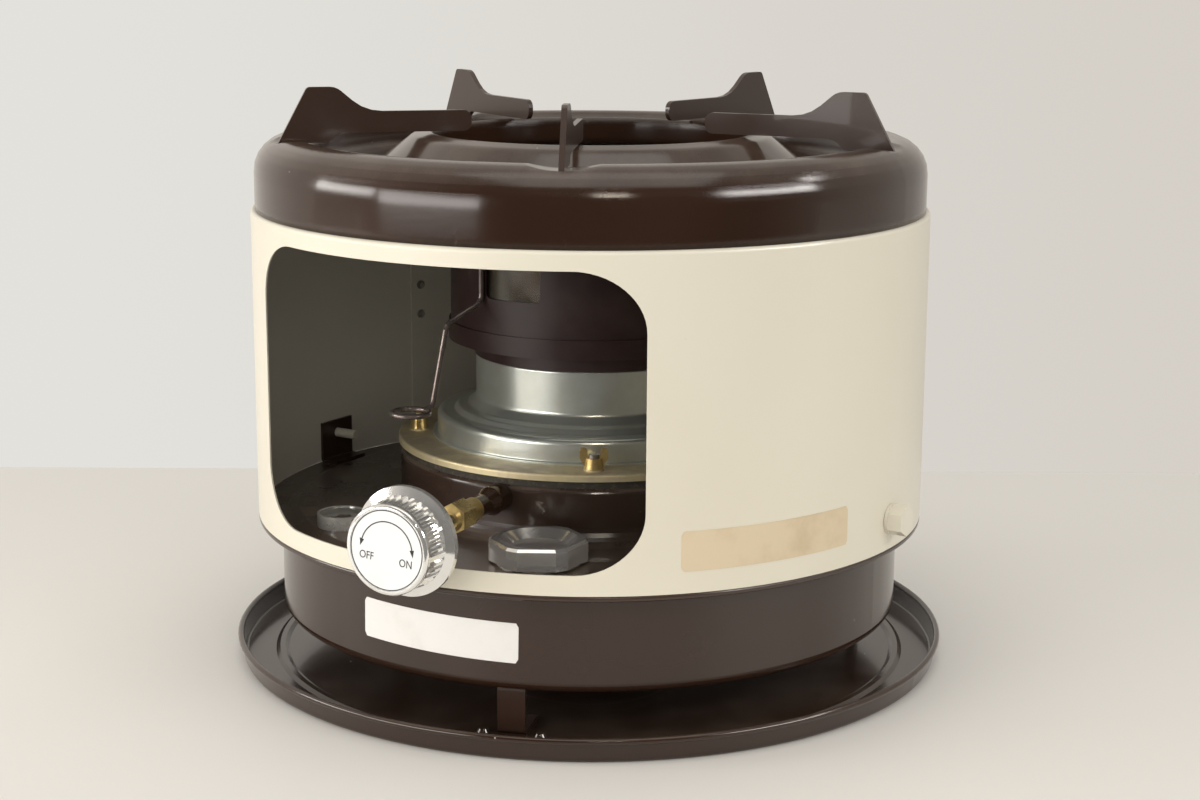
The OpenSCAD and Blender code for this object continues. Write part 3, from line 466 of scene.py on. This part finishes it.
# %% [markdown]
# **Brown enamel.** Glass fused on steel: a dark, wet-looking brown with a faint orange peel,
# tiny pale nibs, a film of dust where it lies level, and bare metal only on the sharpest
# edges. The gloss comes from the shader's own coat, which stays sharp under the dust. On the
# rolled top, the light is also made to turn gently from one band of the roll to the next.

# %% Brown enamel
def brown_enamel(name, dust, wear=0.60, roughness=0.16, colour=(0.025, 0.0115, 0.0065), soft=0.0):
    """Wear is how sharp an edge has to be to lose its enamel, and soft a radius in metres."""
    f = Finish(name, colour, roughness, Coat_Weight=0.2, Coat_Roughness=0.02)
    if soft:
        f.soften(soft)
    f.layer(f.mask(f.noise(9.0, 3.0), 0.4, 0.7), tuple(c * 1.25 for c in colour))
    f.layer(f.group(DUST, "Mask", Amount=dust, Scale=22.0), (0.20, 0.155, 0.12), 0.5)
    f.layer(f.group(SPECKS, "Mask", Scale=170.0, Size=0.07, Share=0.05), (0.28, 0.24, 0.20), 0.5)
    if wear:
        f.layer(f.group(WEAR, "Mask", Threshold=wear, Scale=240.0), (0.16, 0.12, 0.10), 0.4)
    f.bump(f.noise(420.0, 2.0), 0.00003, 0.35)
    return f.done()


BROWN = brown_enamel("brown_enamel", 0.16)
BROWN_TOP = brown_enamel("brown_enamel_top", 0.30, roughness=0.13, soft=0.005)
BROWN_TRAY = brown_enamel("brown_enamel_tray", 0.22)
BROWN_PLATE = brown_enamel("brown_enamel_plate", 0.20, wear=0, roughness=0.3,
                           colour=(0.034, 0.017, 0.011))
BROWN_DECK = brown_enamel("brown_enamel_deck", 0.75, wear=0, roughness=0.22,
                          colour=(0.036, 0.021, 0.015))
print("brown enamels made")

# %% [markdown]
# ** Cream cabinet.** The outside has cream paint that has gone a little yellow, with a few
# dark nibs and scuffs. The inside is the same cream, made a little darker and rougher. Both
# are one sheet, so the material asks whether the surface faces the axis or away from it.

# %% Inward-facing group
def build_inside():
    g, given, out = new_group("faces_axis", "Mask")
    geometry = node(g, "ShaderNodeNewGeometry")
    flat = node(g, "ShaderNodeVectorMath", operation="MULTIPLY")
    link(g, node(g, "ShaderNodeTexCoord").outputs["Object"], flat.inputs[0])
    flat.inputs[1].default_value = (1, 1, 0)
    unit = node(g, "ShaderNodeVectorMath", operation="NORMALIZE")
    link(g, flat.outputs[0], unit.inputs[0])
    dot = node(g, "ShaderNodeVectorMath", operation="DOT_PRODUCT")
    link(g, unit.outputs[0], dot.inputs[0])
    link(g, geometry.outputs["Normal"], dot.inputs[1])
    link(g, smooth_step(g, dot.outputs["Value"], -0.4, -0.8), out["Mask"])
    return g


INSIDE = build_inside()

# %% Cream paint
def cream_paint():
    f = Finish("cream_paint", (0.715, 0.672, 0.555), 0.32, Coat_Weight=0.25, Coat_Roughness=0.15)
    f.layer(f.mask(f.noise(7.0, 3.0), 0.42, 0.75), (0.70, 0.65, 0.525))
    f.layer(f.group(SPECKS, "Mask", Scale=60.0, Size=0.035, Share=0.035), (0.20, 0.15, 0.10), 0.6)
    f.layer(f.group(SPECKS, "Mask", Scale=240.0, Size=0.06, Share=0.02), (0.50, 0.42, 0.30), 0.5)
    f.layer(f.group(DUST, "Mask", Amount=0.4, Scale=30.0), (0.40, 0.36, 0.29), 0.6)
    f.layer(f.group(INSIDE, "Mask"), (0.60, 0.56, 0.46), 0.42)
    f.bump(f.noise(380.0, 2.0), 0.00003, 0.4)
    return f.done()


CREAM = cream_paint()
print("cream paint made")

# %% [markdown]
# **Plated and bare metals.** Zinc is a soft blue-grey, smooth and a little cloudy. Yellow
# passivate is the same plating turned pale gold, chrome is bright with faint haze, and brass
# goes brown in patches. They differ in colour, roughness, dirt and how far tool lines show.

# %% Metals
DARK_GRIME, BRASS_GRIME, OIL = (0.06, 0.05, 0.035), (0.07, 0.04, 0.02), (0.05, 0.035, 0.025)
METAL_DUST = (0.42, 0.37, 0.29)


def plated(name, colour, cloud, rough, lines, grime=DARK_GRIME, grimy=0.5, metallic=1.0, dust=0.0,
           pits=0.25):
    """A metal. Rough is a pair: where it is clean, and where it is clouded."""
    f = Finish(name, colour, rough[0], metallic=metallic)
    f.layer(f.mask(f.noise(60.0, 4.0, 0.6), 0.35, 0.7), cloud, rough[1])
    f.layer(f.calc("MULTIPLY", f.mask(f.noise(140.0, 5.0, 0.7), 0.55, 0.8), grimy), grime, 0.6)
    f.layer(f.group(SPECKS, "Mask", Scale=330.0, Size=0.12, Share=0.12 * pits), grime, 0.7)
    if dust:
        f.layer(f.group(DUST, "Mask", Amount=dust, Scale=30.0), METAL_DUST, 0.7)
    f.bump(f.group(SPUN, "Height", Scale=1500.0), 0.00003, lines)
    f.bump(f.noise(500.0, 3.0), 0.00003, pits)
    return f.done()


ZINC = plated("zinc_plating", (0.72, 0.75, 0.71), (0.66, 0.68, 0.61), (0.28, 0.29), 0.03,
              grimy=0.0, metallic=0.85, pits=0.0)
YELLOW = plated("yellow_passivate", (0.72, 0.62, 0.37), (0.60, 0.50, 0.34), (0.40, 0.52), 0.35,
                grimy=0.35, metallic=0.6, dust=0.8)
CHROME = plated("chrome_plating", (0.92, 0.91, 0.89), (0.86, 0.85, 0.82), (0.07, 0.12), 0.05,
                grimy=0.1, metallic=0.80, dust=0.3, pits=0.12)
BRASS = plated("dull_brass", (0.70, 0.53, 0.22), (0.46, 0.32, 0.13), (0.26, 0.42), 0.25,
               BRASS_GRIME, 0.7, metallic=0.85)
STEEL = plated("oily_steel", (0.42, 0.41, 0.39), (0.28, 0.26, 0.24), (0.32, 0.45), 0.3, OIL, 0.8)
NICKEL = plated("dull_nickel", (0.66, 0.65, 0.61), (0.54, 0.52, 0.48), (0.25, 0.36), 0.15,
                metallic=0.6, dust=0.4)
WIRE = plated("browned_wire", (0.20, 0.165, 0.15), (0.13, 0.10, 0.09), (0.24, 0.36), 0.0, OIL, 0.4,
              metallic=0.7)
print("metals made")

# %% [markdown]
# **Heat-worked steel.** The drum wears the same brown as the top but matt, and paler where
# heat has bleached it. The tubes inside are bare steel gone to blue-black scale.

# %% Heat finishes
def heat_browned():
    """Thin brown enamel that heat has dulled."""
    f = Finish("heat_browned", (0.024, 0.0115, 0.0105), 0.38, Specular_IOR_Level=0.35)
    f.layer(f.mask(f.noise(35.0, 4.0, 0.6), 0.4, 0.7), (0.034, 0.019, 0.016), 0.46)
    f.layer(f.mask(f.noise(120.0, 5.0, 0.7), 0.62, 0.8), (0.060, 0.042, 0.034), 0.6)
    f.layer(f.group(DUST, "Mask", Amount=0.25, Scale=40.0), (0.12, 0.09, 0.07), 0.7)
    f.bump(f.noise(700.0, 4.0), 0.00006, 0.5)
    return f.done()


def scaled():
    """Bare steel with a skin of scale."""
    f = Finish("heat_scale", (0.060, 0.055, 0.055), 0.5, metallic=0.6)
    f.layer(f.mask(f.noise(50.0, 4.0, 0.65), 0.4, 0.7), (0.10, 0.07, 0.05), 0.62)
    f.layer(f.mask(f.noise(260.0, 4.0, 0.7), 0.6, 0.75), (0.17, 0.13, 0.10), 0.7)
    f.bump(f.noise(900.0, 4.0), 0.00008, 0.5)
    return f.done()


DRUM, SCALE = heat_browned(), scaled()

# %% [markdown]
# **Soft and small things.** The wick is woven yarn, so its height is two crossed waves, with
# char at the top edge. The gasket is ground cork. The pane is mica, which is amber and nearly
# clear. Dials and bare labels are lacquered.

# %% Soft finishes
CHAR_FROM, CHAR_TO = 138 * MM, 147 * MM
SMEAR = 0.12


def woven_wick():
    f = Finish("woven_wick", (0.66, 0.60, 0.48), 0.9)
    ribs = [node(f.tree, "ShaderNodeTexWave", bands_direction=way) for way in ("Z", "DIAGONAL")]
    place = node(f.tree, "ShaderNodeTexCoord")
    for rib in ribs:
        rib.inputs["Scale"].default_value = 160.0
        link(f.tree, place.outputs["Object"], rib.inputs["Vector"])
    height = node(f.tree, "ShaderNodeSeparateXYZ")
    link(f.tree, place.outputs["Object"], height.inputs[0])
    f.layer(f.mask(height.outputs["Z"], CHAR_FROM, CHAR_TO), (0.02, 0.017, 0.015))
    f.bump(f.calc("MULTIPLY", ribs[0].outputs["Fac"], ribs[1].outputs["Fac"]), 0.0004, 0.8)
    return f.done()


def ground_cork():
    f = Finish("ground_cork", (0.040, 0.034, 0.026), 0.8)
    f.layer(f.mask(f.noise(300.0, 4.0, 0.7), 0.5, 0.65), (0.085, 0.065, 0.042))
    f.bump(f.noise(600.0, 4.0), 0.0002, 0.6)
    return f.done()


def black_rubber():
    f = Finish("black_rubber", (0.018, 0.018, 0.018), 0.6)
    f.layer(f.group(DUST, "Mask", Amount=0.3, Scale=60.0), (0.10, 0.09, 0.08))
    f.bump(f.noise(900.0, 3.0), 0.00005, 0.4)
    return f.done()


def lacquer(name, colour, stain, roughness=0.35):
    """A printed or painted face, stained in patches."""
    f = Finish(name, colour, roughness)
    f.layer(f.mask(f.noise(45.0, 4.0, 0.6), 0.45, 0.8), stain)
    fleck = tuple(c * 0.5 for c in stain)
    f.layer(f.group(SPECKS, "Mask", Scale=400.0, Size=0.10, Share=0.02), fleck, 0.5)
    f.bump(f.noise(500.0, 2.0), 0.00002, 0.3)
    return f.done()


def clear_pane(name, colour, roughness):
    """Glass or mica, smeared here and there."""
    f = Finish(name, colour, roughness, Transmission_Weight=1.0, IOR=1.5)
    f.vary(f.mask(f.noise(80.0, 4.0), 0.4, 0.8), roughness + SMEAR)
    f.bump(f.noise(200.0, 2.0), 0.00003, 0.2)
    return f.done()


WICK, CORK, RUBBER = woven_wick(), ground_cork(), black_rubber()
DIAL = lacquer("white_dial", (0.80, 0.80, 0.79), (0.74, 0.735, 0.71), 0.3)
WHITE_LABEL = lacquer("white_label", (0.78, 0.76, 0.73), (0.70, 0.68, 0.64), 0.45)
OLD_LABEL = lacquer("yellowed_label", (0.66, 0.545, 0.37), (0.56, 0.44, 0.28), 0.5)
INK = lacquer("black_ink", (0.02, 0.02, 0.022), (0.035, 0.033, 0.03), 0.4)
RED = lacquer("red_lacquer", (0.14, 0.035, 0.03), (0.10, 0.03, 0.025))
GLASS = clear_pane("gauge_glass", (0.97, 0.98, 0.98), 0.03)
MICA = clear_pane("mica", (0.62, 0.48, 0.28), 0.15)
print("materials in the file:", len(bpy.data.materials))

# %% [markdown]
# ## Dress the solid pieces
# Every piece of the solid model keeps its shape and place, and only its material changes.

# %% Finish of each piece
FINISHES = {
    BROWN: "fuel_tank spindle_sleeve",
    BROWN_DECK: "tank_deck",
    BROWN_TRAY: "drip_tray",
    BROWN_TOP: "hob_plate",
    BROWN_PLATE: "pot_supports tank_feet cabinet_brackets",
    CREAM: "cabinet cabinet_screws",
    ZINC: "draught_tube wick_guide",
    YELLOW: "flange_plate stud_washers float_arm",
    BRASS: "wing_nuts gland_nut filler_strainer",
    CHROME: "knob filler_cap",
    NICKEL: "gauge_housing filler_neck",
    STEEL: "flange_studs pinion spindle wick_carrier seam_rivets",
    CORK: "seat_gasket fuel_float",
    RUBBER: "filler_seal",
    DRUM: "chimney_base chimney_drum",
    WIRE: "lifting_handle",
    SCALE: "outer_flame_cylinder inner_flame_cylinder flame_spreader cross_pins",
    WICK: "wick gland_packing",
    DIAL: "knob_dial gauge_dial",
    RED: "gauge_needle",
    GLASS: "gauge_glass",
    MICA: "peep_pane",
}
for material, names in FINISHES.items():
    for name in names.split():
        mesh = nodes[name].data
        mesh.materials.clear()
        mesh.materials.append(material)
print("dressed", sum(len(names.split()) for names in FINISHES.values()), "pieces")

# %% [markdown]
# ## Bare labels
# Two stickers lie on curved sheet: a white one low on the tank and a yellowed one on the
# cabinet. Each is a patch of the cylinder, a fifth of a millimetre thick, with rounded
# corners, and it is left blank. The white one was stuck on a little crooked.

# %% Curved label
LABEL_THICK, LABEL_CORNER, LABEL_CLEAR = 0.2 * MM, 1.2 * MM, 0.03 * MM
ACROSS_STEPS, UP_STEPS = 60, 10


def curved_label(name, radius, azimuth, z, width, height, tilt, material):
    """A rounded rectangle wrapped on a cylinder and given a thickness."""
    mesh = bmesh.new()
    lean = math.radians(tilt)
    grid = []
    for j in range(UP_STEPS + 1):
        row = []
        for i in range(ACROSS_STEPS + 1):
            u = (i / ACROSS_STEPS - 0.5) * width
            v = (j / UP_STEPS - 0.5) * height
            inset = max(0.0, LABEL_CORNER - (height / 2 - abs(v)))
            reach = width / 2 - LABEL_CORNER + math.sqrt(max(0.0, LABEL_CORNER ** 2 - inset ** 2))
            u = max(-reach, min(reach, u))
            x = u * math.cos(lean) - v * math.sin(lean)
            y = u * math.sin(lean) + v * math.cos(lean)
            row.append(mesh.verts.new(around(azimuth + math.degrees(x / radius), radius, z + y)))
        grid.append(row)
    for j in range(UP_STEPS):
        for i in range(ACROSS_STEPS):
            mesh.faces.new((grid[j][i], grid[j][i + 1], grid[j + 1][i + 1], grid[j + 1][i]))
    data = bpy.data.meshes.new(name)
    mesh.to_mesh(data)
    mesh.free()
    obj = bpy.data.objects.new(name, data)
    scene.collection.objects.link(obj)
    thick = obj.modifiers.new("thickness", "SOLIDIFY")
    thick.thickness = LABEL_THICK
    thick.offset = 1
    data.materials.append(material)
    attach(obj, "stove")
    return obj


tank_label = curved_label("tank_label", TANK_R + LABEL_CLEAR, -87.9, 47.2 * MM,
                          80.5 * MM, 18.5 * MM, -1.0, WHITE_LABEL)
cabinet_label = curved_label("cabinet_label", CABINET_R + LABEL_CLEAR, -32.0, 92 * MM,
                             89 * MM, 18 * MM, 0.4, OLD_LABEL)
print("labels:", tank_label.name, cabinet_label.name)

# %% [markdown]
# ## The knob's dial
# The white disc has a thin circle near its edge, a curved arrow with a head at each end, and
# the words OFF and ON. The lines are flat ribbons and the words are Blender's own text, laid
# a hair above the disc. A small frame at the dial's centre turns flat drawing into place.

# %% Dial drawing
DIAL_TURN = -5
INK_CLEAR, INK_THICK = 0.06 * MM, 0.04 * MM
CIRCLE_R, CIRCLE_WIDE = 17.35 * MM, 0.45 * MM
ARROW_R, ARROW_WIDE = 12.4 * MM, 0.5 * MM
ARROW_RIGHT, ARROW_LEFT, ARROW_LAP = 10, 169, 2
HEAD_LONG, HEAD_HALF = 3.2 * MM, 1.1 * MM
WORD_TALL, WORD_NARROW = 5 * MM, 0.82

outward = around(SPINDLE_AZ, 1, 0)
up_dial = Vector((0, 0, 1))
dial_frame = Matrix((up_dial.cross(outward), up_dial, outward)).transposed().to_4x4()
dial_frame = Matrix.Translation(around(SPINDLE_AZ, DIAL_AT + INK_CLEAR, SPINDLE_Z)) @ dial_frame
dial_frame = dial_frame @ Matrix.Rotation(math.radians(DIAL_TURN), 4, "Z")


def onto_dial(obj, data):
    """Put an inked piece in the scene, on the knob's own body."""
    scene.collection.objects.link(obj)
    data.materials.append(INK)
    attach(obj, "knob_set")


def ink_piece(name, faces):
    """Flat faces drawn in the dial's own plane, in metres, given a thickness and put in place."""
    mesh = bmesh.new()
    for corners in faces:
        mesh.faces.new([mesh.verts.new((x, y, 0)) for x, y in corners])
    bmesh.ops.remove_doubles(mesh, verts=mesh.verts, dist=1e-7)
    made = bmesh.ops.extrude_face_region(mesh, geom=mesh.faces[:])
    raised = [part for part in made["geom"] if isinstance(part, bmesh.types.BMVert)]
    bmesh.ops.translate(mesh, vec=(0, 0, INK_THICK), verts=raised)
    bmesh.ops.recalc_face_normals(mesh, faces=mesh.faces)
    data = bpy.data.meshes.new(name)
    mesh.to_mesh(data)
    mesh.free()
    obj = bpy.data.objects.new(name, data)
    obj.matrix_world = dial_frame
    onto_dial(obj, data)


def ribbon(radius, width, start, stop, steps):
    """Quads of a curved line, with angles in degrees anticlockwise from the right."""
    quads = []
    for k in range(steps):
        a, b = (math.radians(start + (stop - start) * t / steps) for t in (k, k + 1))
        quads.append([(r * math.cos(t), r * math.sin(t)) for r, t in
                      ((radius, a), (radius + width, a), (radius + width, b), (radius, b))])
    return quads


def arrow_head(radius, angle, way):
    """A triangle that ends a curved line."""
    a = math.radians(angle)
    outwards = Vector((math.cos(a), math.sin(a)))
    along = Vector((-math.sin(a), math.cos(a))) * way
    foot = outwards * radius
    return [tuple(foot + outwards * HEAD_HALF), tuple(foot - outwards * HEAD_HALF),
            tuple(foot + along * HEAD_LONG)]


def dial_word(text, x, y):
    """A word in Blender's own text, centred at a point of the dial."""
    curve = bpy.data.curves.new("dial_" + text.lower(), "FONT")
    curve.body, curve.size = text, WORD_TALL
    curve.align_x, curve.align_y = "CENTER", "CENTER"
    curve.extrude = INK_THICK / 2
    curve.resolution_u = 4
    letters = bpy.data.objects.new("dial_" + text.lower(), curve)
    letters.matrix_world = (dial_frame @ Matrix.Translation((x, y, INK_THICK / 2))
                            @ Matrix.Diagonal((WORD_NARROW, 1, 1, 1)))
    onto_dial(letters, curve)


arrow_mid = ARROW_R + ARROW_WIDE / 2
ink_piece("dial_circle", ribbon(CIRCLE_R, CIRCLE_WIDE, 0, 360, 72))
ink_piece("dial_arrow", ribbon(ARROW_R, ARROW_WIDE, ARROW_RIGHT, ARROW_LEFT, 40)
          + [arrow_head(arrow_mid, ARROW_RIGHT + ARROW_LAP, -1),
             arrow_head(arrow_mid, ARROW_LEFT - ARROW_LAP, 1)])
dial_word("OFF", -9.6 * MM, -4.1 * MM)
dial_word("ON", 9.8 * MM, -4.1 * MM)
print("dial drawn at", tuple(round(v, 4) for v in dial_frame.translation))

# %% [markdown]
# ## Close the scene
# The picture uses Blender's Standard view transform.

# %% Finish
scene.view_settings.view_transform = "Standard"
